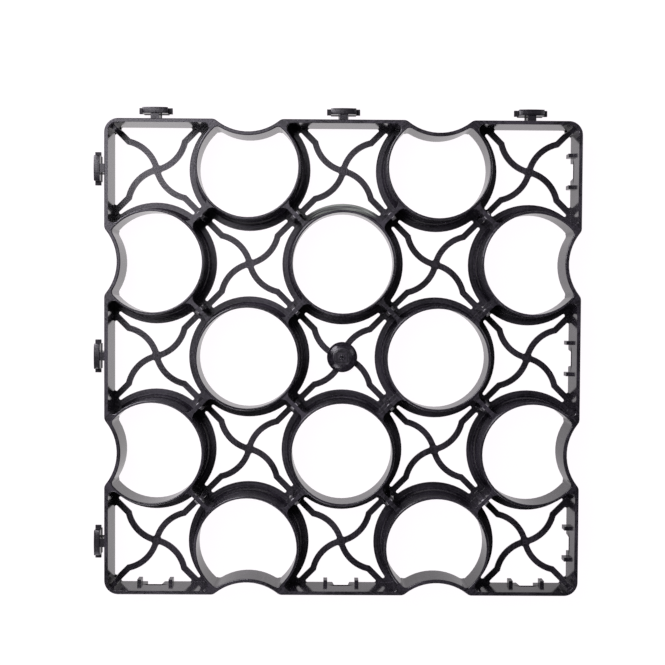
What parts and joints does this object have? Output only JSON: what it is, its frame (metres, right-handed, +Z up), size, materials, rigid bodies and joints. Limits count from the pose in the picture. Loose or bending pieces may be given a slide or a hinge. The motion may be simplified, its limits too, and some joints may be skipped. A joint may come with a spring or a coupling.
{
  "type": "grass paver grid",
  "caption": "Square black plastic grass paver grid, moulded in one piece: open rings alternate with cells of curved cross ribs, with T hooks and matching slots on the sides.",
  "frame": {"origin": "middle of the grid at ground level, under the round boss of the middle cell", "axes": "+Z up from the ground to the open rims, +Y towards one row of T hooks, -X towards the other row, so the slots are on the -Y and +X sides"},
  "size_m": [0.5138, 0.5138, 0.04],
  "materials": {
    "black_plastic": "satin, moulded"
  },
  "bodies": {
    "root": {"paver_grid": "black_plastic"}
  },
  "joints": []
}
